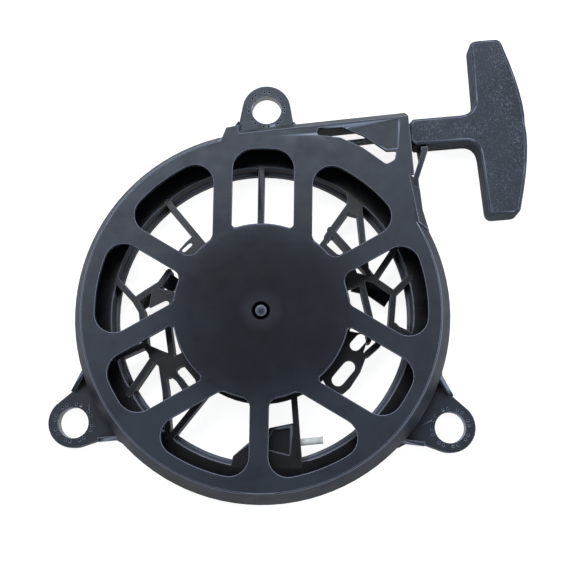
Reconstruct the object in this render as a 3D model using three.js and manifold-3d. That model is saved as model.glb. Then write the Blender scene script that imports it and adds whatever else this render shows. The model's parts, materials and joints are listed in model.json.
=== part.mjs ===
// Recoil starter for a small engine: a moulded cover with three bolting lugs, a rope
// pulley with a mainspring above it and two driving dogs below it, and a T grip on the rope.
//
// Millimetres. +Z points away from the engine, out of the front face of the cover. The
// origin is where the crankshaft's axis meets the mounting plane of the lugs. +Y runs to
// the top lug and +X to the side where the rope leaves.

import * as THREE from 'three';
import { mergeVertices } from 'three/addons/utils/BufferGeometryUtils.js';
import Module from 'manifold-3d';

const wasm = await Module();
wasm.setup();

// ------------------------------------------------------------ driving dimensions

const GAP = 0.3;                    // play kept between pieces that rest on each other
const FACE_Z = 35;                  // front face of the cover above the mounting plane
const PLATE = 3;                    // thickness of the front plate and of the walls
const SHOULDER_Z = 20;              // height where the side wall starts to lean inwards
const RIM_R = 98.8;                 // outer radius of the cover below the shoulder
const FACE_R = 93.4;                // radius of the front face's outer edge
const DISC_R = 45.6;                // inner ends of the windows
const WINDOW_R = 85.8;              // outer ends of the windows
const WINDOW_HALF = 16.1;           // half width of the three straight windows
const SPOKE = 9.8;                  // width of every spoke
const LUG_ANGLES = { top: 90, left: 210, right: 330 };
const LUG_PCR = 115.2;              // radius of the circle through the lug holes
const LUG_R = 13.3;                 // outer radius of a lug
const LUG_T = 8.4;                  // thickness of a lug
const SLEEVE_BORE = 8.1;            // inner radius of a lug's metal sleeve

const ROPE_R = 2;                   // rope radius
const ROPE_Z = 11.5;                // height of the rope where it leaves the pulley
const LAYER_1 = 85.2;               // centre radius of the first layer of rope
const LAYER_2 = 88.75;              // centre radius of the second layer
const WRAPS = 2;                    // whole turns in the first layer
const EXIT = { x: 75.84, y: 99.34 };  // centre of the rope guide
const PULL_ANGLE = 5.5;             // direction of the pull above +X, degrees

const TAIL_Z = 10.6;                // height of the rope's knotted free end
const RING_R = 79.4;                // inner radius of the pulley's rim
const GROOVE_R = 82.4;              // floor of the rope groove
const FLANGE_R = 93;                // outer radius of the pulley's flanges
const WEB_TOP = 17.6;               // front side of the pulley
const WEB_BOTTOM = 7;               // back of the pulley's ribs
const FLANGE_T = 1.5;               // thickness of a flange
const RIB = 3.3;                    // width of the pulley's ribs
const HUB_R = 47;                   // outer radius of the pulley's hub disc
const POST_R = 6.6;                 // centre post of the cover
const DOG_RADIUS = 27;              // distance from the axis to a dog's pivot
const DOG_ANGLES = { a: 20, b: 200 };  // where the dogs' pivots stand at rest
const DOG_REST = 118;               // a dog at rest, clockwise from the radius outwards
const DOG_SWING = 30;               // how far the dog plate swings the dogs out
const DOG_PEG = 9;                  // distance from a dog's pivot to its peg
const DOG_Z = 6.9;                  // underside of the dogs
const DOG_T = 4;                    // thickness of a dog

const rad = THREE.MathUtils.degToRad;
const polar = (radius, degrees) =>
  new THREE.Vector2(radius * Math.cos(rad(degrees)), radius * Math.sin(rad(degrees)));

// ------------------------------------------------------------ solids

function solid(geometry) {
  let g = geometry.clone();
  g.deleteAttribute('normal');
  g.deleteAttribute('uv');
  g = mergeVertices(g, 1e-4);
  return new wasm.Manifold(new wasm.Mesh({
    numProp: 3,
    vertProperties: new Float32Array(g.attributes.position.array),
    triVerts: new Uint32Array(g.index.array),
  }));
}

function geometryOf(manifold) {
  const mesh = manifold.getMesh();
  const g = new THREE.BufferGeometry();
  g.setAttribute('position', new THREE.BufferAttribute(new Float32Array(mesh.vertProperties), 3));
  g.setIndex(new THREE.BufferAttribute(new Uint32Array(mesh.triVerts), 1));
  g.computeVertexNormals();
  return g;
}

const join = (solids) => solids.reduce((whole, piece) => whole.add(piece));

const cut = (whole, solids) => solids.reduce((rest, piece) => rest.subtract(piece), whole);

// An outline as a plain polygon, without the doubled points where its curves meet.
function outline(shape, curveSegments = 8) {
  const all = shape.getPoints(curveSegments);
  return new THREE.Shape(all.filter((p, i) => p.distanceTo(all[(i + 1) % all.length]) > 1e-3));
}

// An outline pulled straight up from z0 to z1.
function prism(shape, z0, z1, curveSegments = 8) {
  const g = new THREE.ExtrudeGeometry(outline(shape, curveSegments), {
    depth: z1 - z0,
    bevelEnabled: false,
  });
  return solid(g.translate(0, 0, z0));
}

// A turned piece: [radius, z] points that start and end on the axis, or that close.
function turned(profile, segments = 48) {
  const points = profile.map(([r, z]) => new THREE.Vector2(r, z));
  const open = points[0].x !== 0;
  if (open) points.push(points[0].clone());
  return solid(new THREE.LatheGeometry(points, segments).rotateX(Math.PI / 2));
}

const cylinder = (r, z0, z1, segments = 48) =>
  turned([[0, z0], [r, z0], [r, z1], [0, z1]], segments);

const ring = (rIn, rOut, z0, z1, segments = 48) =>
  turned([[rIn, z0], [rOut, z0], [rOut, z1], [rIn, z1]], segments);

function polygon(points) {
  return new THREE.Shape(points.map(([x, y]) => new THREE.Vector2(x, y)));
}

// A polygon of [x, y, radius] corners, each corner rounded to its radius.
function rounded(corners) {
  const shape = new THREE.Shape();
  corners.forEach(([x, y, r], i) => {
    const here = new THREE.Vector2(x, y);
    const [px, py] = corners[(i + corners.length - 1) % corners.length];
    const [nx, ny] = corners[(i + 1) % corners.length];
    const back = new THREE.Vector2(px - x, py - y).normalize();
    const on = new THREE.Vector2(nx - x, ny - y).normalize();
    const half = Math.acos(THREE.MathUtils.clamp(back.dot(on), -1, 1)) / 2;
    const reach = r / Math.tan(half);
    const from = here.clone().addScaledVector(back, reach);
    const to = here.clone().addScaledVector(on, reach);
    if (i === 0) shape.moveTo(from.x, from.y);
    else shape.lineTo(from.x, from.y);
    if (r > 0) shape.quadraticCurveTo(x, y, to.x, to.y);
  });
  shape.closePath();
  return shape;
}

// A bar with round ends from one point to another.
function bar(x0, y0, x1, y1, width) {
  const along = Math.atan2(y1 - y0, x1 - x0);
  const shape = new THREE.Shape();
  shape.absarc(x1, y1, width / 2, along - Math.PI / 2, along + Math.PI / 2);
  shape.absarc(x0, y0, width / 2, along + Math.PI / 2, along + 1.5 * Math.PI);
  shape.closePath();
  return shape;
}

// A round tube along a list of points, with flat ends.
function tube(points, radius, steps, sides = 8) {
  const path = new THREE.CatmullRomCurve3(points, false, 'centripetal');
  const section = new THREE.Shape();
  for (let i = 0; i < sides; i += 1) {
    const a = (2 * Math.PI * i) / sides;
    const [x, y] = [radius * Math.cos(a), radius * Math.sin(a)];
    if (i === 0) section.moveTo(x, y);
    else section.lineTo(x, y);
  }
  section.closePath();
  return new THREE.ExtrudeGeometry(section, { steps, extrudePath: path, bevelEnabled: false });
}

// ------------------------------------------------------------ materials

const finish = (color, roughness, metalness) =>
  () => new THREE.MeshStandardMaterial({ color, roughness, metalness });

const coverPlastic = finish(0x36383f, 0.5, 0);
const pulleyPlastic = finish(0x26282c, 0.55, 0);
const gripPlastic = finish(0x3a3c43, 0.65, 0);
const rope = finish(0xd3d2cc, 0.9, 0);
const steel = finish(0xb9bbbd, 0.3, 1);
const springSteel = finish(0x6d7680, 0.35, 1);
const nylon = finish(0x17181a, 0.45, 0);
const zinc = finish(0x9fa3a8, 0.45, 1);

const starter = new THREE.Group();

function place(name, geometry, material, parent = starter) {
  const mesh = new THREE.Mesh(geometry, material());
  mesh.name = name;
  parent.add(mesh);
  return mesh;
}

// ------------------------------------------------------------ cover

// One window between two straight sides and the inner and outer circles. A side runs
// parallel to the radius at its angle, at its offset to the left of that radius.
function windowShape({ right, left, inner, outer, rIn = DISC_R, rOut = WINDOW_R }) {
  const corner = (side, sign, radius, fillet, onOuter) => {
    const s = side.offset + sign * fillet;
    const reach = onOuter ? radius - fillet : radius + fillet;
    const t = Math.sqrt(reach * reach - s * s);
    const d = polar(1, side.angle);
    const centre = new THREE.Vector2(t * d.x - s * d.y, t * d.y + s * d.x);
    const onSide = Math.atan2(-sign * d.x, sign * d.y);
    const onCircle = Math.atan2(centre.y, centre.x) + (onOuter ? 0 : Math.PI);
    return { centre, fillet, onSide, onCircle };
  };
  const a = corner(right, 1, rIn, inner, false);
  const b = corner(right, 1, rOut, outer, true);
  const c = corner(left, -1, rOut, outer, true);
  const d = corner(left, -1, rIn, inner, false);
  const bearing = (k) => Math.atan2(k.centre.y, k.centre.x);
  const shape = new THREE.Shape();
  shape.absarc(a.centre.x, a.centre.y, a.fillet, a.onCircle, a.onSide, false);
  shape.absarc(b.centre.x, b.centre.y, b.fillet, b.onSide, b.onCircle, false);
  shape.absarc(0, 0, rOut, bearing(b), bearing(c), false);
  shape.absarc(c.centre.x, c.centre.y, c.fillet, c.onCircle, c.onSide, false);
  shape.absarc(d.centre.x, d.centre.y, d.fillet, d.onSide, d.onCircle, false);
  shape.absarc(0, 0, rIn, bearing(d), bearing(a), true);
  shape.closePath();
  return shape;
}

// Three straight windows in line with the lugs, and a mirrored pair between each two.
function windows() {
  const beside = WINDOW_HALF + SPOKE;
  return Object.values(LUG_ANGLES).flatMap((angle) => [
    windowShape({
      right: { angle, offset: -WINDOW_HALF },
      left: { angle, offset: WINDOW_HALF },
      inner: 2,
      outer: 11,
    }),
    windowShape({
      right: { angle, offset: beside },
      left: { angle: angle + 60, offset: -SPOKE / 2 },
      inner: 5,
      outer: 10,
    }),
    windowShape({
      right: { angle: angle + 60, offset: SPOKE / 2 },
      left: { angle: angle + 120, offset: -beside },
      inner: 5,
      outer: 10,
    }),
  ]);
}

// The horn that carries the rope out: full-size corners below the shoulder.
const HORN = [
  [20, 60, 0], [88, 45.5, 0], [84.2, 56, 8], [82.4, 73.5, 2],
  [87.6, 90, 4], [84.5, 104.5, 5], [75.5, 110.4, 3], [4, 102, 30], [-20, 96.9, 0], [-30, 70, 0],
];
const HORN_INSIDE = [
  [22, 62, 0], [82, 48, 0], [81.2, 56, 6], [79.4, 73, 2],
  [84.2, 88.5, 3], [81.5, 102.3, 4], [74.2, 107.2, 3], [6, 99.2, 20], [-18, 94.2, 0], [-26, 72, 0],
];
const MOUTH_U = 85.4;               // the front plate stops here along the pull direction

// Everything outside a wall that leans inwards by `lean` from the shoulder to the face.
function leanWedge([x0, y0], [x1, y1], lean) {
  const rise = FACE_Z - SHOULDER_Z;
  const section = polygon([[0, SHOULDER_Z], [25, SHOULDER_Z], [25, FACE_Z + 3],
    [-lean * (1 + 3 / rise), FACE_Z + 3]]);
  const along = new THREE.Vector3(x1 - x0, y1 - y0, 0);
  const g = new THREE.ExtrudeGeometry(section, { depth: along.length(), bevelEnabled: false });
  along.normalize();
  const up = new THREE.Vector3(0, 0, 1);
  const out = new THREE.Vector3().crossVectors(along, up);
  g.applyMatrix4(new THREE.Matrix4().makeBasis(out, up, along.negate()));
  return solid(g.translate(x1, y1, 0));
}

function hornBody(corners, z0, z1, lean, topWall, sideWall) {
  return cut(prism(rounded(corners), z0, z1, 5), [
    leanWedge(...topWall, lean),
    leanWedge(...sideWall, lean),
  ]);
}

// A block given along and across the direction of the pull.
function pullBlock(u0, u1, v0, v1, z0, z1) {
  const g = new THREE.BoxGeometry(u1 - u0, v1 - v0, z1 - z0);
  g.translate((u0 + u1) / 2, (v0 + v1) / 2, (z0 + z1) / 2);
  return solid(g.rotateZ(rad(PULL_ANGLE)));
}

const EXIT_U = EXIT.x * Math.cos(rad(PULL_ANGLE)) + EXIT.y * Math.sin(rad(PULL_ANGLE));
const EXIT_V = EXIT.y * Math.cos(rad(PULL_ANGLE)) - EXIT.x * Math.sin(rad(PULL_ANGLE));

// A cylinder along the pull direction, through the centre of the rope guide.
function pullBore(radius, u0, u1, segments = 24) {
  const g = new THREE.CylinderGeometry(radius, radius, u1 - u0, segments);
  g.rotateZ(-Math.PI / 2).translate((u0 + u1) / 2, EXIT_V, ROPE_Z);
  return solid(g.rotateZ(rad(PULL_ANGLE)));
}

// One lug, drawn on +X at its own radius and turned to its angle.
function lug(angle) {
  const plate = new THREE.Shape();
  plate.moveTo(94, -24);
  plate.lineTo(97.2, -23);
  plate.quadraticCurveTo(100.5, -17, 104, -15.6);
  plate.absarc(LUG_PCR, 0, LUG_R, -1.45, 1.45, false);
  plate.lineTo(104, 15.6);
  plate.quadraticCurveTo(100.5, 17, 97.2, 23);
  plate.lineTo(94, 24);
  plate.closePath();
  const side = polygon([[-3, LUG_T - 1], [11.5, LUG_T - 1], [11.5, LUG_T + 0.3], [-0.4, 18.5], [-3, 18.5]]);
  const gusset = (k) => {
    const g = new THREE.ExtrudeGeometry(side, { depth: 2.2, bevelEnabled: false });
    g.rotateX(Math.PI / 2).translate(0, 1.1, 0).rotateZ(rad(-k * 24));
    return solid(g.translate(97.4, k * 19.2, 0));
  };
  return join([prism(plate, 0, LUG_T, 10), gusset(1), gusset(-1)]).rotate([0, 0, angle]);
}

function lugBore(angle) {
  const seat = turned([[0, -1], [SLEEVE_BORE + 1.5, -1], [SLEEVE_BORE + 1.5, LUG_T - 0.9],
    [SLEEVE_BORE + 0.05, LUG_T - 0.9], [SLEEVE_BORE + 0.05, LUG_T + 12], [0, LUG_T + 12]], 40);
  return seat.translate([LUG_PCR, 0, 0]).rotate([0, 0, angle]);
}

function cover() {
  const shell = turned([[0, 0], [RIM_R, 0], [RIM_R, SHOULDER_Z], [FACE_R, FACE_Z - 0.8],
    [FACE_R - 0.9, FACE_Z], [0, FACE_Z]], 96);
  const cavity = turned([[0, -1], [RIM_R - PLATE, -1], [RIM_R - PLATE, SHOULDER_Z],
    [FACE_R - PLATE - 0.6, FACE_Z - PLATE], [0, FACE_Z - PLATE]], 96);
  const horn = hornBody(HORN, 0, FACE_Z, 6.2,
    [[95, 112.7], [-14, 99.9]], [[94, 15.5], [82.4, 73.5]]);
  const hornCavity = hornBody(HORN_INSIDE, -1, FACE_Z - PLATE, 6.2,
    [[95, 109.7], [-14, 96.9]], [[91, 14.7], [79.4, 72.8]]);
  const outside = join([shell, horn, ...Object.values(LUG_ANGLES).map(lug)]);

  // The round wall goes on inside the horn, with a window that lets the rope through.
  const roundWall = ring(RIM_R - PLATE, RIM_R, 0, FACE_Z - 1, 96);
  const guideWall = pullBlock(80.4, 84.4, 68, EXIT_V + 7.5, 0, FACE_Z - 1);
  const inHorn = join([roundWall.intersect(horn), guideWall.intersect(horn)]);
  const ropeWindow = pullBlock(20, 52, 82, 95.2, 4, 22);

  let body = cut(outside, [cavity, hornCavity]);
  body = join([body, cut(inHorn, [ropeWindow, cylinder(RIM_R - PLATE - 0.01, -1, FACE_Z - PLATE, 96)])]);

  // Spring cup and centre post under the middle disc, and the disc's raised rim.
  const cup = turned([[43.4, 19.2], [44.8, 19.2], [46, FACE_Z - 2], [43.4, FACE_Z - 2]], 72);
  const post = turned([[0, 6.2], [POST_R, 6.2], [POST_R + 0.6, FACE_Z - 2], [0, FACE_Z - 2]], 32);
  const disc = turned([[0, FACE_Z - 1], [45, FACE_Z - 1], [45, FACE_Z], [42.4, FACE_Z + 0.3], [0, FACE_Z + 0.3]], 72);
  body = join([body, cup, post, disc]);

  const slot = rounded([[28.2, 97.3, 1.7], [27.6, 93.3, 1.7], [40, 92, 0], [52, 86.6, 0],
    [64.3, 77.8, 2], [68.6, 80.2, 2.5], [69.6, 85.3, 0.8], [64.4, 85, 1], [52, 93.4, 2], [41, 97.6, 2]]);
  const gusset = rounded([[42.6, 96.9, 1], [64.6, 85.8, 1], [70.2, 86.4, 1], [71.4, 103, 2]]);
  const cuts = [
    ...windows().map((shape) => prism(shape, FACE_Z - 6, FACE_Z + 1, 4)),
    ...Object.values(LUG_ANGLES).map(lugBore),
    prism(slot, FACE_Z - 8, FACE_Z + 1, 3),
    prism(gusset, FACE_Z - 0.8, FACE_Z + 1, 3),
    pullBlock(MOUTH_U, 130, 60, 130, SHOULDER_Z, FACE_Z + 1),
    pullBlock(MOUTH_U, 130, EXIT_V - 8.6, EXIT_V + 13, 2.6, FACE_Z),
    pullBore(4.6, 78, 90),
    pullBore(6.1, 83.2, 90),
    cylinder(2.7, -1, 25.5, 24),
    ring(2.9, 4.6, FACE_Z - 0.8, FACE_Z + 1, 32),
    cylinder(3, FACE_Z - 0.1, FACE_Z + 1, 32),
  ];
  return geometryOf(cut(body, cuts));
}

place('cover', cover(), coverPlastic);

for (const [name, angle] of Object.entries(LUG_ANGLES)) {
  const sleeve = ring(SLEEVE_BORE, SLEEVE_BORE + 1.2, 0, LUG_T - 1.2, 40);
  const mesh = place(`lug_sleeve_${name}`, geometryOf(sleeve), steel);
  const at = polar(LUG_PCR, angle);
  mesh.position.set(at.x, at.y, 0);
}

// ------------------------------------------------------------ rope guide

// Frame of the pull: +X along the pull, origin at the centre of the rope guide.
const pull = new THREE.Group();
pull.position.set(EXIT.x, EXIT.y, ROPE_Z);
pull.rotation.z = rad(PULL_ANGLE);
starter.add(pull);

const GUIDE_U = 80.4 - EXIT_U;       // inner face of the wall that holds the guide

function ropeGuide() {
  const eyelet = turned([[2.7, -0.5], [4.3, -0.5], [4.3, 3.1], [5.8, 3.1], [5.8, 4.4],
    [4.6, 5.4], [3.4, 5.4], [2.7, 4.6]], 28);
  return geometryOf(eyelet.rotate([0, 90, 0]).translate([GUIDE_U, 0, 0]));
}

place('rope_guide', ropeGuide(), nylon, pull);

// ------------------------------------------------------------ pulley

// Where the ribs of the pulley's web start, meet and end. Each is [x, y].
const NODE = {
  topRim: [-1.8, 79.5], topHub: [-1.8, 46.6],
  leftTopRim: [-52, 60.5], leftTopHub: [-32.4, 37.6],
  rightTopRim: [47.8, 62.6], rightTopHub: [33.6, 41.9],
  legRim: [50.7, 60.4], legFoot: [54.6, 25],
  crossHigh: [35.4, 46.2], bandInner: [48.5, 21.6], bandMid: [58.9, 19.3], bandOuter: [69.2, 12.2],
  highRim: [70.8, 37.7], lowRim: [77.8, 20.8],
  downFoot: [67.9, -5.2], footRim: [77.5, -9.5], lobeTop: [61, -14.9], lobeBoss: [55.2, -20.1],
  innerKnee: [52.2, 18.4], innerFoot: [57, -1.5], innerEnd: [56, -13],
  leftRim: [-77.4, 17.2], leftKnee: [-67.7, 7], leftBandMid: [-61.4, 11.4],
  leftBandHigh: [-54.6, 15.8], leftBandTop: [-50, 22.6],
  leftFoot: [-63.9, 1], starArm: [-61.6, -16.4], starRim: [-76.5, -23.4],
  starLeft: [-56.5, -23], bRim: [-69.2, -42.6], starLow: [-52.4, -28], cBend: [-50.1, -41], cRim: [-48, -64],
  dStart: [-47.5, -31.3], dBend: [-43.2, -34.6], dEnd: [-36, -45],
  eTop: [-50, -6], eFoot: [-47.6, -21],
  lowLeftHub: [-27.4, -40], lowLeftRim: [-46, -64],
  pocketRib: [17.2, -42], pocketRim: [20.4, -78],
};

const RIBS = [
  ['topRim', 'topHub'], ['leftTopRim', 'leftTopHub'], ['rightTopRim', 'rightTopHub'],
  ['legRim', 'legFoot'], ['crossHigh', 'legFoot'], ['legFoot', 'bandMid'],
  ['bandInner', 'bandMid'], ['bandMid', 'bandOuter'], ['highRim', 'bandMid'], ['lowRim', 'bandOuter'],
  ['bandOuter', 'downFoot'], ['downFoot', 'footRim'], ['downFoot', 'lobeTop'], ['lobeTop', 'lobeBoss'],
  ['bandInner', 'innerKnee'], ['innerKnee', 'innerFoot'], ['innerFoot', 'innerEnd'],
  ['leftRim', 'leftKnee'], ['leftKnee', 'leftBandMid'], ['leftBandMid', 'leftBandHigh'],
  ['leftBandHigh', 'leftBandTop'], ['leftKnee', 'leftFoot'], ['leftFoot', 'starArm'],
  ['starArm', 'starRim'], ['starArm', 'starLeft'], ['starLeft', 'bRim'], ['starLow', 'cBend'],
  ['cBend', 'cRim'], ['dStart', 'dBend'], ['dBend', 'dEnd'], ['eTop', 'eFoot'],
  ['lowLeftHub', 'lowLeftRim'], ['pocketRib', 'pocketRim'],
];

// A flat lobe of the web between two angles, from the hub out to its own radius.
function lobe(radius, from, to) {
  const shape = new THREE.Shape();
  shape.absarc(0, 0, radius, rad(from), rad(to), false);
  shape.absarc(0, 0, 44, rad(to), rad(from), true);
  shape.closePath();
  return prism(shape, WEB_TOP - 4, WEB_TOP, 10);
}

// A slab that falls away from the top of one rib, on the right of the way from a to b.
function ramp([x0, y0], [x1, y1], reach) {
  const section = polygon([[0, WEB_TOP], [0, WEB_TOP - 3], [reach, WEB_BOTTOM], [reach, WEB_BOTTOM + 2.6]]);
  const along = new THREE.Vector3(x1 - x0, y1 - y0, 0);
  const g = new THREE.ExtrudeGeometry(section, { depth: along.length(), bevelEnabled: false });
  along.normalize();
  const up = new THREE.Vector3(0, 0, 1);
  const right = new THREE.Vector3().crossVectors(along, up);
  g.applyMatrix4(new THREE.Matrix4().makeBasis(right, up, along.negate()));
  return solid(g.translate(x1, y1, 0));
}

function dogPost(angle) {
  const at = polar(DOG_RADIUS, angle);
  return cylinder(2.8, DOG_Z, 15, 20).translate([at.x, at.y, 0]);
}

function pulley() {
  const rim = turned([
    [RING_R - 2.2, 5.4], [FLANGE_R, 5.4], [FLANGE_R, 5.4 + 1], [GROOVE_R, 5.4 + FLANGE_T],
    [GROOVE_R, WEB_TOP - FLANGE_T], [FLANGE_R, WEB_TOP - FLANGE_T - 0.2], [FLANGE_R, WEB_TOP - 1],
    [RING_R + 1, WEB_TOP], [RING_R, WEB_TOP], [RING_R - 0.6, 10.8], [RING_R - 2.2, 10.4],
  ], 96);
  const hub = turned([
    [7.4, 9.5], [11, 9.5], [11, 13.4], [HUB_R, 13.4], [HUB_R, WEB_TOP], [11, WEB_TOP],
    [11, 31], [7.6, 31],
  ], 64);
  const ribs = RIBS.map(([from, to]) =>
    prism(bar(...NODE[from], ...NODE[to], RIB), WEB_BOTTOM, WEB_TOP, 2));
  const plates = [
    lobe(56.6, 130, 152), lobe(60, 166, 184), lobe(55.4, 206, 232), lobe(55, 17, 52),
    lobe(56.8, 334, 350), prism(rounded([[31, -32, 1], [46, -16, 1], [55.4, -20.2, 2],
      [51.9, -29.8, 2], [46.6, -38, 2], [42.8, -41.4, 1], [36, -40, 1]]), WEB_TOP - 4, WEB_TOP, 2),
    prism(rounded([[-60.4, -16.4, 1.5], [-51.5, -20, 1.5], [-46.8, -21.6, 1], [-41, -27.4, 1],
      [-44.6, -29, 1], [-48, -33.8, 1.5], [-50.4, -34, 1], [-54.2, -27.8, 1], [-56.2, -26.2, 1],
      [-59.4, -23.4, 1.5]]), WEB_BOTTOM, WEB_TOP, 2),
    prism(polygon([[44, 67], [53.5, 59.6], [50.4, 54.4], [45.4, 55.6]]), WEB_BOTTOM, WEB_TOP),
    prism(polygon([[66.6, -3], [70.4, -3.4], [77, -10.4], [72, -12]]), WEB_BOTTOM, WEB_TOP),
    prism(rounded([[-15.2, -80, 0], [-14, -74, 1], [-5.5, -66.5, 1], [5, -59.2, 1],
      [18, -56.4, 1], [21.6, -80, 0]]), WEB_BOTTOM, WEB_TOP, 2),
    ramp(NODE.bandMid, NODE.bandOuter, 7.4), ramp(NODE.bandInner, NODE.bandMid, 7.4),
    ramp(NODE.leftBandMid, NODE.leftBandHigh, 6.6), ramp(NODE.leftBandHigh, NODE.leftBandTop, 6.6),
    ramp(NODE.leftKnee, NODE.leftBandMid, 5.2),
  ];
  const slots = [
    bar(-42.4, 34.6, -39.4, 37.4, 2.6), bar(40.4, 34.9, 35.8, 38.9, 4.4),
    bar(-59, 1.4, -51.6, 5.2, 4.2), bar(-42, -29.9, -36.8, -35.9, 4.8),
    bar(52.2, -12.2, 49.2, -15.6, 5.8), bar(40.2, -33.9, 45.9, -27, 6.6),
  ];
  const cuts = [
    ...slots.map((shape) => prism(shape, 4, WEB_TOP + 1, 4)),
    prism(rounded([[6.4, -60.6, 1], [15.4, -59, 1], [15.6, -73.5, 1], [1.5, -70, 1]]), WEB_TOP - 2.4, WEB_TOP + 1, 2),
    prism(rounded([[2.6, -61.2, 1], [15.6, -60.2, 1], [15.6, -73, 1], [2.6, -72, 1]]), 4, WEB_TOP - 3.9, 2),
    solid(new THREE.CylinderGeometry(2.5, 2.5, 14, 16).translate(6.6, -78, ROPE_Z)),
    solid(new THREE.CylinderGeometry(3, 3, 14, 16).rotateZ(Math.PI / 2).translate(18, -66.4, TAIL_Z)),
  ];
  const body = join([rim, hub, ...ribs, ...plates, ...Object.values(DOG_ANGLES).map(dogPost)]);
  return geometryOf(cut(body, cuts));
}

place('pulley', pulley(), pulleyPlastic);

// ------------------------------------------------------------ rope

const lerp = THREE.MathUtils.lerp;
const blend = (x, a, b) => THREE.MathUtils.smoothstep(x, a, b);
const RUN_ANGLE = 7.41;              // direction of the rope from the pulley to the guide
const LEAVE = 90 + RUN_ANGLE;        // where the rope leaves the pulley, degrees
const POCKET_ANGLE = 272;            // where the rope goes in through the groove's floor

// The winding goes round from the point where the rope leaves: half a turn on top, then
// down into the first layer, two turns side by side, to the pocket that holds the knot.
function windingPoint(turned_) {
  const down = blend(turned_, 150, 185);
  const across = blend(turned_, 465, 505);
  const dip = Math.sin(Math.PI * across) * 0.6;
  const r = lerp(LAYER_2, LAYER_1, down) - dip;
  const z = ROPE_Z + 2.15 * down - 4.3 * across;
  const p = polar(r, LEAVE + turned_);
  return new THREE.Vector3(p.x, p.y, z);
}

function winding() {
  const total = POCKET_ANGLE - LEAVE + 360 * WRAPS;
  const step = 8;
  const points = [];
  for (let a = 0.3; a < total; a += step) points.push(windingPoint(a));
  return tube(points, ROPE_R, Math.round(total / step));
}

place('rope_winding', winding(), rope);

// The free end: through the pocket, round a knot and out past the rib.
place('rope_tail', tube([[17.5, -66.8], [22, -66.4], [28, -65.7], [33, -65]]
  .map(([x, y]) => new THREE.Vector3(x, y, TAIL_Z)), ROPE_R + 0.3, 6), rope);

place('rope_knot', new THREE.SphereGeometry(4, 16, 10).scale(1.15, 1.1, 0.72)
  .translate(10, -66.4, TAIL_Z - 0.2), rope);

// The run from the winding through the guide and into the grip.
function ropeRun() {
  const start = polar(LAYER_2, LEAVE);
  const toLocal = (x, y) => new THREE.Vector3(x - EXIT.x, y - EXIT.y, 0)
    .applyAxisAngle(new THREE.Vector3(0, 0, 1), -rad(PULL_ANGLE));
  const from = toLocal(start.x, start.y);
  const points = [];
  for (let i = 0; i <= 6; i += 1) points.push(from.clone().multiplyScalar(1 - (i / 6) * 0.96));
  points.push(new THREE.Vector3(2, 0, 0), new THREE.Vector3(14, 0, 0), new THREE.Vector3(35.5, 0, 0));
  return tube(points, ROPE_R, 30);
}

place('rope_run', ropeRun(), rope, pull);

// ------------------------------------------------------------ grip

const GRIP = {
  nose: 1.6,                         // near end of the stem, past the guide's centre
  inner: 38.4,                       // side of the crossbar that faces the cover
  crest: 64.6,                       // furthest point of the bowed side
  corner: 56.6,                      // outer corners of the crossbar
  half: 49,                          // half length of the crossbar
  shift: -0.5,                       // how far the crossbar's middle is off the stem's
  stem: 7.6,                         // half width of the stem
  thick: 17,                         // thickness of the crossbar
};

function gripOutline() {
  const { nose, inner, crest, corner, half, shift, stem } = GRIP;
  const [top, bottom] = [shift + half, shift - half];
  const bulge = crest + (crest - corner) * 0.16;
  const s = new THREE.Shape();
  s.moveTo(nose, -stem + 3);
  s.lineTo(nose + 3, -stem);
  s.lineTo(inner - 8, -stem);
  s.quadraticCurveTo(inner - 0.6, -stem, inner, -stem - 8);
  s.lineTo(inner + 0.6, bottom + 4);
  s.quadraticCurveTo(inner + 0.8, bottom, inner + 4.8, bottom);
  s.lineTo(corner - 4, bottom);
  s.quadraticCurveTo(corner, bottom, corner + 0.8, bottom + 4.5);
  s.quadraticCurveTo(bulge, bottom * 0.33, crest, shift);
  s.quadraticCurveTo(bulge, top * 0.33, corner + 0.8, top - 4.5);
  s.quadraticCurveTo(corner, top, corner - 4, top);
  s.lineTo(inner + 4.8, top);
  s.quadraticCurveTo(inner + 0.8, top, inner + 0.6, top - 4);
  s.lineTo(inner, stem + 8);
  s.quadraticCurveTo(inner - 0.6, stem, inner - 8, stem);
  s.lineTo(nose + 3, stem);
  s.lineTo(nose, stem - 3);
  s.closePath();
  return s;
}

const alongPull = (radius, u0, u1, segments = 24) => solid(
  new THREE.CylinderGeometry(radius, radius, u1 - u0, segments)
    .rotateZ(-Math.PI / 2).translate((u0 + u1) / 2, 0, 0));

function grip() {
  const bevel = 2.4;
  const g = new THREE.ExtrudeGeometry(outline(gripOutline(), 6), {
    depth: GRIP.thick - 2 * bevel,
    bevelEnabled: true,
    bevelThickness: bevel,
    bevelSize: 1.8,
    bevelOffset: -1.8,
    bevelSegments: 2,
  });
  g.translate(0, 0, -GRIP.thick / 2 + bevel);
  const shape = solid(g);
  return geometryOf(cut(shape, [
    alongPull(2.5, -1, 40),
    alongPull(6, 35.8, 62),
    alongPull(7.4, 59.2, 70),
  ]));
}

place('grip', grip(), gripPlastic, pull);
place('grip_washer', geometryOf(ring(2.6, 5.6, 0, 1.4, 24).rotate([0, 90, 0]).translate([36.1, 0, 0])), zinc, pull);
place('grip_knot', new THREE.SphereGeometry(4.6, 16, 10).scale(1.25, 1, 0.95).translate(43.6, 0, 0), rope, pull);
place('grip_plug', geometryOf(turned([[0, 0], [5.6, 0], [5.6, 4.6], [7, 4.6], [7, 6], [0, 6.6]], 28)
  .rotate([0, 90, 0]).translate([54.9, 0, 0])), gripPlastic, pull);

// ------------------------------------------------------------ mainspring

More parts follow.
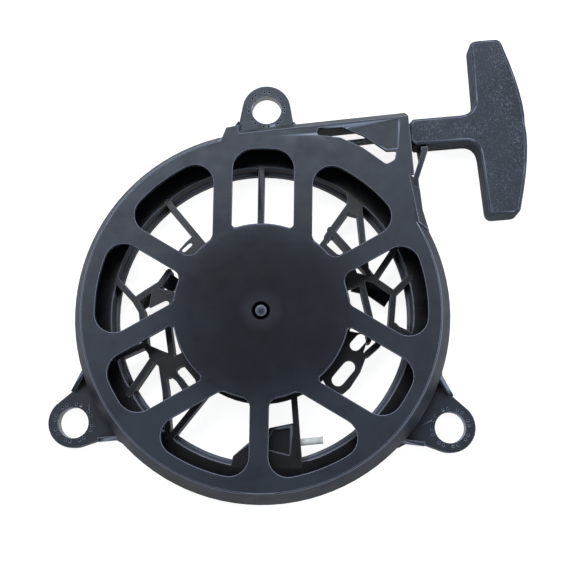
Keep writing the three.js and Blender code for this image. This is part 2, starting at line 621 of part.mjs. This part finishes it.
// A flat strip wound in the cup: tight round the pulley's collar, then open coils.
function mainspring() {
  const turns = 7;
  const perTurn = 24;
  const half = 0.35;
  const radiusAt = (a) => lerp(12.4, 41.6, Math.pow(a / (2 * Math.PI * turns), 1.05));
  const outer = [];
  const inner = [];
  for (let i = 0; i <= turns * perTurn; i += 1) {
    const a = (2 * Math.PI * i) / perTurn;
    const r = radiusAt(a);
    outer.push([(r + half) * Math.cos(a), (r + half) * Math.sin(a)]);
    inner.push([(r - half) * Math.cos(a), (r - half) * Math.sin(a)]);
  }
  const g = new THREE.ExtrudeGeometry(polygon([...outer, ...inner.reverse()]), {
    depth: 10.4,
    bevelEnabled: false,
  });
  return g.translate(0, 0, 19.6);
}

place('mainspring', mainspring(), springSteel);

// ------------------------------------------------------------ dogs and their drive

// A dog, drawn with its pivot at the origin and its tip on +X. The peg under it rides in
// the dog plate's slot.
function dog() {
  const body = prism(rounded([[-4.6, -3.6, 2.4], [5, -4.8, 3], [15.6, -2.6, 0.6], [17.2, -0.6, 0.4],
    [13.5, 3.6, 1], [3, 4.6, 2], [-4.6, 3.4, 2.4]]), DOG_Z, DOG_Z + DOG_T, 4);
  const peg = cylinder(1.4, DOG_Z - 2, DOG_Z + 1, 16).translate([DOG_PEG, 0, 0]);
  return cut(join([body, peg]), [cylinder(3.1, 0, 20, 20)]);
}

// A dog's return spring: a coil round the pivot post with one straight leg.
function dogSpring() {
  const points = [new THREE.Vector3(8.5, 3.7, 0)];
  const perTurn = 12;
  const turns = 1.5;
  for (let i = 0; i <= turns * perTurn; i += 1) {
    const a = Math.PI / 2 + (2 * Math.PI * i) / perTurn;
    points.push(new THREE.Vector3(3.7 * Math.cos(a), 3.7 * Math.sin(a), (i / perTurn) * 0.95));
  }
  return tube(points, 0.35, 40, 6).translate(0, 0, DOG_Z + DOG_T + 0.55);
}

for (const [letter, angle] of Object.entries(DOG_ANGLES)) {
  const at = polar(DOG_RADIUS, angle);
  const frame = new THREE.Group();
  frame.position.set(at.x, at.y, 0);
  frame.rotation.z = rad(angle - DOG_REST);
  starter.add(frame);
  place(`dog_${letter}`, geometryOf(dog()), zinc, frame);
  place(`dog_spring_${letter}`, dogSpring(), springSteel, frame);
}

// Where a dog's peg is in the dog plate once both have turned by the same angle.
function pegInPlate(angle, swing) {
  const lean = rad(DOG_REST - swing);
  const x = DOG_RADIUS + DOG_PEG * Math.cos(lean);
  const y = DOG_PEG * Math.sin(lean);
  const behind = THREE.MathUtils.radToDeg(Math.atan2(y, x));
  return polar(Math.hypot(x, y), angle - behind - swing).toArray();
}

// The plate that swings the dogs out: a stamped disc with two slotted ears.
function dogPlate() {
  const [z0, z1] = [4.9, 6.4];
  const ear = (angle) => {
    const near = pegInPlate(angle, 0);
    const far = pegInPlate(angle, DOG_SWING);
    return join([
      prism(bar(...near, ...far, 9.6), z0, z1, 6),
      prism(bar(0, 0, ...pegInPlate(angle, DOG_SWING / 2), 13), z0, z1, 6),
    ]);
  };
  const slot = (angle) => {
    const stops = [-2, 4, 10, 16, 22, 27, 32].map((swing) => pegInPlate(angle, swing));
    return join(stops.slice(1).map((stop, i) => prism(bar(...stops[i], ...stop, 3.5), 0, 9, 5)));
  };
  const angles = Object.values(DOG_ANGLES);
  const body = join([cylinder(14.5, z0, z1, 40), ...angles.map(ear)]);
  return geometryOf(cut(body, [cylinder(POST_R + 0.6, 0, 10, 32), ...angles.map(slot)]));
}

place('dog_plate', dogPlate(), zinc);

// The friction spring that holds the plate back: two turns round the post.
function frictionSpring() {
  const points = [];
  for (let i = 0; i <= 28; i += 1) {
    const a = (2 * Math.PI * i) / 14;
    points.push(new THREE.Vector3(7.7 * Math.cos(a), 7.7 * Math.sin(a), 7.4 + (i / 28) * 1.4));
  }
  return tube(points, 0.45, 40, 6);
}

place('friction_spring', frictionSpring(), springSteel);

place('thrust_washer', geometryOf(ring(2.8, 10.5, 3.6, 4.6, 36)), steel);

// Hexagon-flange screw that holds the pulley train on the cover's post.
function retainingScrew() {
  const head = cylinder(5.6, 0, 2.4, 6);
  const flange = cylinder(7.2, 2.1, 3.3, 32);
  const shank = cylinder(2.4, 3, 24, 20);
  return geometryOf(join([head, flange, shank]));
}

place('retaining_screw', retainingScrew(), zinc);

export default starter;
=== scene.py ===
import json
import math

import bpy
from mathutils import Matrix, Vector

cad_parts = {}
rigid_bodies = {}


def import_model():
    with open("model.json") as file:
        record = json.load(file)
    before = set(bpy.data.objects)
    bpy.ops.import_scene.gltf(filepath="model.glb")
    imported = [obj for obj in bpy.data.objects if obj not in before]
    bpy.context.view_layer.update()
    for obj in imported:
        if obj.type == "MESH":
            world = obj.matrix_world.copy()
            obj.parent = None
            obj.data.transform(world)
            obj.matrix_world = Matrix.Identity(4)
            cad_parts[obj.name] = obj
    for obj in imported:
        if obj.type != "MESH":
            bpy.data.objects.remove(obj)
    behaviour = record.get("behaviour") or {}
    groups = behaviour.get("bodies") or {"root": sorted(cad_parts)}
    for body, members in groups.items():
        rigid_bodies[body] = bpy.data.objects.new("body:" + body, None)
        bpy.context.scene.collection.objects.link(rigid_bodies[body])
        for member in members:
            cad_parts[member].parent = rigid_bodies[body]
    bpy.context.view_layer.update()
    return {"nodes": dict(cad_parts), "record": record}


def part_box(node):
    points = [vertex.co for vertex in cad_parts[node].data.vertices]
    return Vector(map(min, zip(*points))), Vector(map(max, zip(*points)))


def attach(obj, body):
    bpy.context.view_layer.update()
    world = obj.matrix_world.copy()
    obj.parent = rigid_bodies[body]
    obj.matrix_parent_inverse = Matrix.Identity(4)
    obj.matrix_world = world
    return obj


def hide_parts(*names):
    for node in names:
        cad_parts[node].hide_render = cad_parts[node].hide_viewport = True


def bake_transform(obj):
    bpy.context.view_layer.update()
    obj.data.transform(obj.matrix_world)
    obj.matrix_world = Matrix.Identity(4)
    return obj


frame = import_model()
nodes = frame["nodes"]
scene = bpy.context.scene

MM = 0.001

# Where the rope leaves the pulley, passes the guide and enters the grip, in millimetres.
PULL_ANGLE = math.radians(5.5)
ROPE_HEIGHT = 11.5
ROPE_LEAVES = (-11.45, 88.01)
GUIDE_CENTRE = (75.84, 99.34)

# Lug holes, and the small pockets round each: eight pairs, in millimetres and degrees.
LUG_ANGLES = (90, 210, 330)
LUG_CIRCLE = 115.2
LUG_TOP = 8.4
POCKET_PAIRS = 8
POCKET_TURNS = (-7.5, 7.5)
POCKET_CIRCLE = 9.9
POCKET_SIZE = (1.0, 0.9, 2.4)

# The rope's braid: yarns each way, their pitch, width and depth, and the circle they lie
# on round the core, in millimetres.
YARNS = 8
YARN_PITCH = 10.4
YARN_WIDTH = 0.46
YARN_DEPTH = 0.3
YARN_CIRCLE = 1.6
STEPS_PER_PITCH = 14

# Edges flatter than this are shaded smooth.
SMOOTH_DEGREES = 20.0


# ---------------------------------------------------------------- camera

def set_camera():
    data = bpy.data.cameras.new("camera")
    data.lens = 71.875
    data.sensor_width = 36.0
    data.clip_start = 0.01
    data.clip_end = 10.0
    camera = bpy.data.objects.new("camera", data)
    scene.collection.objects.link(camera)
    turn = (
        Matrix.Rotation(math.radians(8.70), 4, "X")
        @ Matrix.Rotation(math.radians(1.18), 4, "Y")
        @ Matrix.Rotation(math.radians(0.60), 4, "Z")
    )
    camera.matrix_world = Matrix.Translation(Vector((25.93, -77.69, 619.67)) * MM) @ turn
    scene.camera = camera


# ---------------------------------------------------------------- material tools

def linear(hex_colour):
    """An sRGB hex colour as linear RGBA."""
    channels = [int(hex_colour[i:i + 2], 16) / 255 for i in (1, 3, 5)]
    bent = [c / 12.92 if c <= 0.04045 else ((c + 0.055) / 1.055) ** 2.4 for c in channels]
    return (*bent, 1.0)


def add_node(tree, kind, settings=(), values=(), links=()):
    """Adds one node: its settings, the values of its sockets and the links into them."""
    node = tree.nodes.new(kind)
    for name, value in dict(settings).items():
        setattr(node, name, value)
    for socket, value in dict(values).items():
        node.inputs[socket].default_value = value
    for socket, source in dict(links).items():
        tree.links.new(source, node.inputs[socket])
    return node


def start_material(name, sockets):
    """A material with its shader's own values set, and its object coordinates."""
    material = bpy.data.materials.new(name)
    material.use_nodes = True
    tree = material.node_tree
    shader = tree.nodes["Principled BSDF"]
    for socket, value in sockets.items():
        shader.inputs[socket].default_value = value
    place = add_node(tree, "ShaderNodeTexCoord").outputs["Object"]
    return material, tree, shader, place


def speckle(tree, place, millimetres, detail=2.0, roughness=0.5):
    """Noise whose lumps are about the given size across."""
    return add_node(
        tree, "ShaderNodeTexNoise",
        values={"Scale": 1000.0 / millimetres, "Detail": detail, "Roughness": roughness},
        links={"Vector": place},
    ).outputs["Fac"]


def fade(tree, source, stops):
    """A colour ramp through (position, hex colour) stops."""
    node = add_node(tree, "ShaderNodeValToRGB", links={"Fac": source})
    ramp = node.color_ramp
    while len(ramp.elements) < len(stops):
        ramp.elements.new(0.5)
    for element, (position, colour) in zip(ramp.elements, stops):
        element.position = position
        element.color = linear(colour)
    return node.outputs["Color"]


def spread(tree, source, low, high, out_low, out_high):
    """Maps one range of values on to another."""
    return add_node(
        tree, "ShaderNodeMapRange",
        values={"From Min": low, "From Max": high, "To Min": out_low, "To Max": out_high},
        links={"Value": source},
    ).outputs["Result"]


def moulded_plastic(name, dark, pale, grain_mm, grain_depth, roughness, edge_mm, edge_highlight_colour,
                    specks=None, zones=None):
    """Injection-moulded nylon: a fine sparked grain from the mould, a cloudy sheen where
    hands and heat have been over it, paler edges that are a painted highlight of rounded edges,
    and painted shade in hollows. Specks are pale dust caught in the grain. Zones darken or
    lighten it by the distance from the axis, in millimetres."""
    material, tree, shader, place = start_material(
        name, {"IOR": 1.5, "Metallic": 0.0, "Specular IOR Level": 0.3}
    )
    clouds = speckle(tree, place, 30.0, 5.0, 0.68)
    body = fade(tree, clouds, [(0.34, dark), (0.68, pale)])
    if specks:
        dust = speckle(tree, place, 0.7, 2.0, 0.6)
        patch = speckle(tree, place, 16.0, 3.0, 0.6)
        amount = add_node(
            tree, "ShaderNodeMath", {"operation": "MULTIPLY"},
            links={0: spread(tree, dust, 0.52, 0.72, 0.0, 0.8),
                   1: spread(tree, patch, 0.4, 0.66, 0.15, 1.0)}).outputs["Value"]
        body = add_node(
            tree, "ShaderNodeMix", {"data_type": "RGBA"}, {7: linear(specks)},
            {0: amount, 6: body}).outputs[2]
    edge = add_node(tree, "ShaderNodeBevel", {"samples": 6}, {"Radius": edge_mm * MM})
    flat = add_node(tree, "ShaderNodeNewGeometry").outputs["True Normal"]
    turn = add_node(
        tree, "ShaderNodeVectorMath", {"operation": "DOT_PRODUCT"},
        links={0: edge.outputs["Normal"], 1: flat},
    ).outputs["Value"]
    # Painted highlight: edges get the paler colour where the bevelled normal turns away from the
    # flat one, standing in for the light that rounded edges catch.
    edge_highlight = spread(tree, turn, 0.994, 0.93, 0.0, 1.0)
    mixed = add_node(
        tree, "ShaderNodeMix", {"data_type": "RGBA"},
        {7: linear(edge_highlight_colour)}, {0: edge_highlight, 6: body},
    ).outputs[2]
    # Painted shade: the colour is darkened in hollows and on walls close to other surfaces, from
    # ambient occlusion.
    hollow = add_node(
        tree, "ShaderNodeAmbientOcclusion", {"samples": 6}, {"Distance": 5.0 * MM}).outputs["AO"]
    hollow_shade = fade(tree, hollow, [(0.3, "#404040"), (0.92, "#FFFFFF")])
    mixed = add_node(
        tree, "ShaderNodeMix", {"data_type": "RGBA", "blend_type": "MULTIPLY"},
        {0: 1.0}, {6: mixed, 7: hollow_shade}).outputs[2]
    # Zones multiply the colour by the distance from the axis and set the specular level from it;
    # on the cover the black ring at the centre groove is painted shade.
    if zones:
        flat_place = add_node(
            tree, "ShaderNodeVectorMath", {"operation": "MULTIPLY"}, {1: (1.0, 1.0, 0.0)},
            {0: place}).outputs["Vector"]
        reach = add_node(
            tree, "ShaderNodeVectorMath", {"operation": "LENGTH"},
            links={0: flat_place}).outputs["Value"]
        span = zones[-1][0]
        shade = fade(tree, spread(tree, reach, 0.0, span * MM, 0.0, 1.0),
                     [(at / span, colour) for at, colour in zones])
        mixed = add_node(
            tree, "ShaderNodeMix", {"data_type": "RGBA", "blend_type": "MULTIPLY"},
            {0: 1.0}, {6: mixed, 7: shade}).outputs[2]
        shine = spread(tree, shade, 0.0, 1.0, 0.0, 0.34)
        tree.links.new(shine, shader.inputs["Specular IOR Level"])
    tree.links.new(mixed, shader.inputs["Base Color"])
    gloss = spread(tree, speckle(tree, place, 9.0, 4.0, 0.65), 0.3, 0.7,
                   roughness - 0.05, roughness + 0.08)
    tree.links.new(gloss, shader.inputs["Roughness"])
    grain = speckle(tree, place, grain_mm, 3.0, 0.7)
    bump = add_node(
        tree, "ShaderNodeBump", values={"Strength": 1.0, "Distance": grain_depth * MM},
        links={"Height": grain, "Normal": edge.outputs["Normal"]},
    ).outputs["Normal"]
    tree.links.new(bump, shader.inputs["Normal"])
    return material


def plated_metal(name, pale, dark, roughness, grain_mm):
    """Plated or rolled steel: bright, with a faint mottle in colour and gloss."""
    material, tree, shader, place = start_material(name, {"Metallic": 1.0})
    mottle = speckle(tree, place, grain_mm, 4.0, 0.6)
    tree.links.new(fade(tree, mottle, [(0.35, dark), (0.65, pale)]), shader.inputs["Base Color"])
    gloss = spread(tree, mottle, 0.3, 0.7, roughness - 0.06, roughness + 0.08)
    tree.links.new(gloss, shader.inputs["Roughness"])
    edge = add_node(tree, "ShaderNodeBevel", {"samples": 4}, {"Radius": 0.25 * MM})
    tree.links.new(edge.outputs["Normal"], shader.inputs["Normal"])
    return material


def rope_fibre(name):
    """Polyester rope yarn: off-white, soft, with a fine twist of filaments."""
    material, tree, shader, place = start_material(
        name, {"Roughness": 0.85, "Sheen Weight": 0.3, "IOR": 1.5}
    )
    fuzz = speckle(tree, place, 0.5, 4.0, 0.7)
    colour = fade(tree, fuzz, [(0.3, "#D6D6D0"), (0.7, "#F6F6F2")])
    tree.links.new(colour, shader.inputs["Base Color"])
    bump = add_node(
        tree, "ShaderNodeBump", values={"Strength": 0.6, "Distance": 0.15 * MM},
        links={"Height": fuzz},
    ).outputs["Normal"]
    tree.links.new(bump, shader.inputs["Normal"])
    return material


# One finish for each slot of the record.
# In moulded_plastic finishes, the pale colour after the edge width is the painted edge
# highlight.
FINISHES = {
    # Satin nylon, darker over the middle disc; the black ring in the groove round its centre is
    # painted shade.
    "cover_plastic": moulded_plastic(
        "moulded_nylon_cover", "#13171F", "#222833", 0.9, 0.02, 0.44, 0.65, "#868D9C",
        zones=[(0.0, "#E0E0E0"), (2.8, "#D0D0D0"), (3.1, "#000000"), (4.6, "#000000"),
               (4.9, "#D0D0D0"), (12.0, "#A8A8A8"), (36.0, "#B4B4B4"), (46.0, "#D0D0D0"),
               (62.0, "#F0F0F0"), (100.0, "#FFFFFF")]),
    # Darker, glossier nylon that is touched only by rope.
    "pulley_plastic": moulded_plastic(
        "moulded_nylon_pulley", "#06080A", "#0D0F13", 1.2, 0.015, 0.3, 0.6, "#6E7480"),
    # Grained plastic with dust caught in the grain.
    "grip_plastic": moulded_plastic(
        "moulded_grained_grip", "#1C2028", "#2B303A", 0.8, 0.09, 0.55, 1.0, "#6E7482",
        specks="#6C717C"),
    # Black nylon, glossy all over.
    "guide_nylon": moulded_plastic(
        "moulded_black_nylon", "#0D0E10", "#141518", 1.5, 0.01, 0.3, 0.4, "#2B2D30"),
    # Rolled steel of the lug sleeves and the washer.
    "bright_steel": plated_metal("rolled_bright_steel", "#C9CBCD", "#A9ABAD", 0.28, 6.0),
    # Zinc plating on the screw, the dogs and their plate.
    "zinc_plate": plated_metal("zinc_plated_steel", "#B9BCC0", "#8F9398", 0.42, 3.0),
    # Blued spring steel with a film of oil.
    "spring_steel": plated_metal("oiled_spring_steel", "#7B838B", "#59616A", 0.34, 8.0),
    # Braided polyester starter rope.
    "rope": rope_fibre("braided_polyester_rope"),
}


# ---------------------------------------------------------------- piece tools

def only(obj):
    """Makes one object the selected and active one."""
    bpy.ops.object.select_all(action="DESELECT")
    obj.select_set(True)
    bpy.context.view_layer.objects.active = obj


def wear(obj, finish):
    """Gives a piece the named finish all over."""
    obj.data.materials.clear()
    obj.data.materials.append(FINISHES[finish])


def notch_lugs(cover):
    """Sinks a ring of small pockets into the plate round each lug hole."""
    cutters = []
    bpy.ops.object.select_all(action="DESELECT")
    for lug in LUG_ANGLES:
        centre = Vector((LUG_CIRCLE * math.cos(math.radians(lug)),
                         LUG_CIRCLE * math.sin(math.radians(lug)), LUG_TOP))
        for pair in range(POCKET_PAIRS):
            for side in POCKET_TURNS:
                turn = math.radians(lug + 360 / POCKET_PAIRS * pair + side)
                spot = centre + Vector((math.cos(turn), math.sin(turn), 0)) * POCKET_CIRCLE
                bpy.ops.mesh.primitive_cube_add(
                    size=1.0, location=spot * MM, rotation=(0, 0, turn),
                    scale=[side_length * MM for side_length in POCKET_SIZE])
                cutters.append(bpy.context.view_layer.objects.active)
    for cutter in cutters:
        cutter.select_set(True)
    bpy.ops.object.join()
    cutter = bpy.context.view_layer.objects.active
    only(cover)
    bpy.ops.object.modifier_add(type="BOOLEAN")
    sink = cover.modifiers[-1]
    sink.operation = "DIFFERENCE"
    sink.solver = "EXACT"
    sink.object = cutter
    bpy.ops.object.modifier_apply(modifier=sink.name)
    only(cutter)
    bpy.ops.object.delete()


def refined_copy(node):
    """A merged, smooth-shaded copy of a CAD node's shape, which stands for it."""
    finish = slot_of[node]
    only(nodes[node])
    bpy.ops.object.duplicate()
    piece = bpy.context.view_layer.objects.active
    piece.name = "fine_" + node
    only(piece)
    bpy.ops.object.parent_clear(type="CLEAR_KEEP_TRANSFORM")
    bpy.ops.object.mode_set(mode="EDIT")
    bpy.ops.mesh.select_all(action="SELECT")
    bpy.ops.mesh.remove_doubles(threshold=0.00001)
    bpy.ops.object.mode_set(mode="OBJECT")
    if node == "cover":
        notch_lugs(piece)
    only(piece)
    bpy.ops.object.shade_smooth_by_angle(angle=math.radians(SMOOTH_DEGREES))
    bpy.ops.object.modifier_add(type="WEIGHTED_NORMAL")
    flatten = piece.modifiers[-1]
    flatten.keep_sharp = True
    flatten.weight = 90
    bpy.ops.object.modifier_apply(modifier=flatten.name)
    wear(piece, finish)
    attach(piece, body_of[node])
    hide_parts(node)


def yarns_one_way(turn_sign, length):
    """The parallel yarns that wind one way round the Z axis, this many millimetres long."""
    bpy.ops.object.select_all(action="DESELECT")
    yarns = []
    for index in range(YARNS):
        bpy.ops.mesh.primitive_circle_add(
            vertices=8, radius=1.0, location=(0, 0, 0), rotation=(math.pi / 2, 0, 0))
        yarn = bpy.context.view_layer.objects.active
        yarn.scale = (YARN_DEPTH * MM, YARN_WIDTH * MM, YARN_WIDTH * MM)
        yarn.location = (YARN_CIRCLE * MM, 0, 0)
        bpy.ops.object.transform_apply(location=True, rotation=True, scale=True)
        yarn.rotation_euler = (0, 0, 2 * math.pi * index / YARNS)
        bpy.ops.object.transform_apply(location=True, rotation=True, scale=True)
        bpy.ops.object.modifier_add(type="SCREW")
        screw = yarn.modifiers[-1]
        screw.axis = "Z"
        screw.angle = turn_sign * 2 * math.pi * length / YARN_PITCH
        screw.screw_offset = length * MM
        screw.steps = screw.render_steps = max(
            8, int(STEPS_PER_PITCH * length / YARN_PITCH))
        screw.use_smooth_shade = True
        bpy.ops.object.modifier_apply(modifier=screw.name)
        yarns.append(yarn)
    return yarns


def braided(name, segments):
    """A braided rope along straight segments: eight yarns each way over a plain core."""
    parts = []
    for start, end in segments:
        start, end = Vector(start), Vector(end)
        length = (end - start).length
        made = yarns_one_way(1, length) + yarns_one_way(-1, length)
        bpy.ops.object.select_all(action="DESELECT")
        bpy.ops.mesh.primitive_cylinder_add(
            vertices=16, radius=YARN_CIRCLE * MM, depth=length * MM,
            location=(0, 0, length * MM / 2))
        core = bpy.context.view_layer.objects.active
        bpy.ops.object.transform_apply(location=True, rotation=True, scale=True)
        for piece in made:
            piece.select_set(True)
        core.select_set(True)
        bpy.context.view_layer.objects.active = core
        bpy.ops.object.join()
        core.rotation_euler = (end - start).to_track_quat("Z", "Y").to_euler()
        core.location = start * MM
        only(core)
        bpy.ops.object.transform_apply(location=True, rotation=True, scale=True)
        parts.append(core)
    bpy.ops.object.select_all(action="DESELECT")
    for part in parts:
        part.select_set(True)
    bpy.context.view_layer.objects.active = parts[0]
    if len(parts) > 1:
        bpy.ops.object.join()
    rope = bpy.context.view_layer.objects.active
    rope.name = name
    wear(rope, "rope")
    return rope


set_camera()

body_of = {n: b for b, names in frame["record"]["behaviour"]["bodies"].items() for n in names}
slot_of = {s["node"]: s["material_slot"] for s in frame["record"]["subparts"]}

for refined in ("cover", "pulley", "grip", "lug_sleeve_top", "lug_sleeve_left",
                "lug_sleeve_right", "rope_guide", "grip_plug", "retaining_screw"):
    refined_copy(refined)

for node, obj in nodes.items():
    for index in range(len(obj.material_slots)):
        obj.material_slots[index].material = FINISHES[slot_of[node]]


# ---------------------------------------------------------------- rope

def along_pull(distance):
    """A point this far past the guide's centre on the line of the pull, in millimetres."""
    return (GUIDE_CENTRE[0] + distance * math.cos(PULL_ANGLE),
            GUIDE_CENTRE[1] + distance * math.sin(PULL_ANGLE), ROPE_HEIGHT)


run = braided("braided_rope_run", [
    ((*ROPE_LEAVES, ROPE_HEIGHT), along_pull(0.0)),
    (along_pull(0.0), along_pull(38.0)),
])
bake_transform(run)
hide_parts("rope_run")

tail_low, tail_high = (tuple(v / MM for v in corner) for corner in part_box("rope_tail"))
tail_height = (tail_low[2] + tail_high[2]) / 2
tail = braided("braided_rope_tail", [((18.2, -66.7, tail_height), (32.4, -65.1, tail_height))])
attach(tail, body_of["rope_tail"])
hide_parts("rope_tail")


# ---------------------------------------------------------------- floor and light

def set_stage():
    bpy.ops.object.select_all(action="DESELECT")
    bpy.ops.mesh.primitive_plane_add(size=6.0, location=(0, 0, -0.0002))
    floor = bpy.context.view_layer.objects.active
    floor.name = "floor"
    material = bpy.data.materials.new("white_paper_floor")
    material.use_nodes = True
    shader = material.node_tree.nodes["Principled BSDF"]
    shader.inputs["Base Color"].default_value = (0.4, 0.4, 0.4, 1.0)
    shader.inputs["Roughness"].default_value = 0.9
    shader.inputs["Specular IOR Level"].default_value = 0.0
    shader.inputs["Emission Color"].default_value = (1.0, 1.0, 1.0, 1.0)
    seen = add_node(material.node_tree, "ShaderNodeLightPath").outputs["Is Camera Ray"]
    glow = spread(material.node_tree, seen, 0.0, 1.0, 0.2, 0.9)
    material.node_tree.links.new(glow, shader.inputs["Emission Strength"])
    floor.data.materials.append(material)


def add_softbox(name, size, power, place, aim=(0.0, 0.0, 0.0)):
    data = bpy.data.lights.new(name, "AREA")
    data.shape = "RECTANGLE"
    data.size, data.size_y = size
    data.energy = power
    data.color = (0.84, 0.91, 1.0)
    lamp = bpy.data.objects.new(name, data)
    lamp.location = place
    lamp.rotation_euler = (Vector(aim) - Vector(place)).to_track_quat("-Z", "Y").to_euler()
    scene.collection.objects.link(lamp)


def set_light():
    world = bpy.data.worlds.new("soft_studio")
    world.use_nodes = True
    world.node_tree.nodes["Background"].inputs["Color"].default_value = (0.85, 0.92, 1, 1)
    world.node_tree.nodes["Background"].inputs["Strength"].default_value = 0.4
    scene.world = world
    add_softbox("softbox_top", (1.1, 0.9), 22.0, (-0.25, 0.75, 1.25))
    add_softbox("softbox_right", (0.6, 1.2), 9.0, (1.25, 0.2, 0.7))


set_stage()
set_light()
scene.view_settings.view_transform = "Standard"
